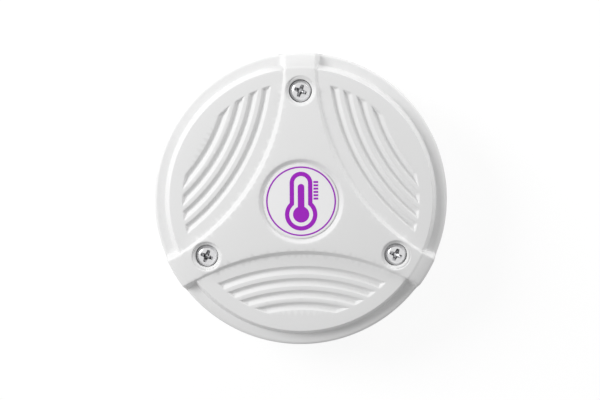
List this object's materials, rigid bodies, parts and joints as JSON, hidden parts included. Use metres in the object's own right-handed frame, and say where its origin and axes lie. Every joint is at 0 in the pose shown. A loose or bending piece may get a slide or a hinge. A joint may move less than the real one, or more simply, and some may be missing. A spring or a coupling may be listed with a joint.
{
  "type": "outdoor temperature sensor",
  "caption": "Round white wireless temperature sensor: screwed cover with a three-armed hub and louvre panels on a wall base that holds a sealed board and cell.",
  "frame": {"origin": "centre of the base's back face, which lies on the wall", "axes": "+Z out of the wall through the cover's face, +Y up through the top screw, +X to the right as seen from the front"},
  "size_m": [0.076, 0.076, 0.0259],
  "materials": {
    "cover_plastic": "white moulded weatherproof plastic with a fine eroded grain",
    "label_film": "satin film, pale grey white",
    "screw_metal": "bright nickel plated steel",
    "washer_rubber": "matt dark grey sealing washer",
    "base_plastic": "off-white moulded plastic",
    "seal_rubber": "black silicone rubber",
    "insert_brass": "knurled brass",
    "membrane_film": "white breathable film",
    "board_laminate": "green solder mask",
    "board_screw_metal": "zinc plated steel",
    "cell_sleeve": "green shrink sleeve",
    "cradle_plastic": "black moulded plastic",
    "contact_nickel": "nickel plated spring steel",
    "module_laminate": "blue solder mask",
    "shield_tin": "tinned steel can",
    "antenna_ceramic": "cream ceramic",
    "chip_resin": "black moulding resin",
    "crystal_case": "plated metal case",
    "capacitor_can": "bare aluminium can",
    "reed_glass": "green tinted glass",
    "pad_silicone": "soft pink silicone pad",
    "header_plastic": "black moulded plastic with gilt pins",
    "chip_ceramic": "tan ceramic"
  },
  "bodies": {
    "base_body": {"base": "base_plastic", "cover_seal": "seal_rubber", "threaded_inserts": "insert_brass", "vent_membrane": "membrane_film", "circuit_board": "board_laminate", "board_screws": "board_screw_metal", "battery_cell": "cell_sleeve", "battery_cradle": "cradle_plastic", "contact_positive": "contact_nickel", "contact_negative": "contact_nickel", "radio_module": "module_laminate", "radio_shield": "shield_tin", "antenna": "antenna_ceramic", "microcontroller": "chip_resin", "crystal": "crystal_case", "buffer_capacitor": "capacitor_can", "reed_switch": "reed_glass", "temperature_sensor": "chip_resin", "thermal_pad": "pad_silicone", "programming_header": "header_plastic", "passive_components": "chip_ceramic"},
    "cover_body": {"cover": "cover_plastic", "front_label": "label_film"},
    "washer_top": {"screw_washer_top": "washer_rubber"},
    "screw_top": {"cover_screw_top": "screw_metal"},
    "washer_left": {"screw_washer_left": "washer_rubber"},
    "screw_left": {"cover_screw_left": "screw_metal"},
    "washer_right": {"screw_washer_right": "washer_rubber"},
    "screw_right": {"cover_screw_right": "screw_metal"}
  },
  "joints": [
    {"name": "cover_lift", "type": "slide", "parent": "base_body", "child": "cover_body", "axis": [0, 0, 1], "range_m": [0, 0.04]},
    {"name": "screw_top_rise", "type": "slide", "parent": "cover_body", "child": "washer_top", "axis": [0, 0, 1], "range_m": [0, 0.006]},
    {"name": "screw_top_turn", "type": "hinge", "parent": "washer_top", "child": "screw_top", "pos_m": [0, 0.02791, 0.022], "axis": [0, 0, 1], "range_deg": [0, 4320]},
    {"name": "screw_left_rise", "type": "slide", "parent": "cover_body", "child": "washer_left", "axis": [0, 0, 1], "range_m": [0, 0.006]},
    {"name": "screw_left_turn", "type": "hinge", "parent": "washer_left", "child": "screw_left", "pos_m": [-0.02417, -0.01395, 0.022], "axis": [0, 0, 1], "range_deg": [0, 4320]},
    {"name": "screw_right_rise", "type": "slide", "parent": "cover_body", "child": "washer_right", "axis": [0, 0, 1], "range_m": [0, 0.006]},
    {"name": "screw_right_turn", "type": "hinge", "parent": "washer_right", "child": "screw_right", "pos_m": [0.02417, -0.01395, 0.022], "axis": [0, 0, 1], "range_deg": [0, 4320]}
  ],
  "couplings": [
    {"joint": "screw_top_turn", "follows": "screw_top_rise", "rad_per_m": 12566},
    {"joint": "screw_left_turn", "follows": "screw_left_rise", "rad_per_m": 12566},
    {"joint": "screw_right_turn", "follows": "screw_right_rise", "rad_per_m": 12566}
  ]
}
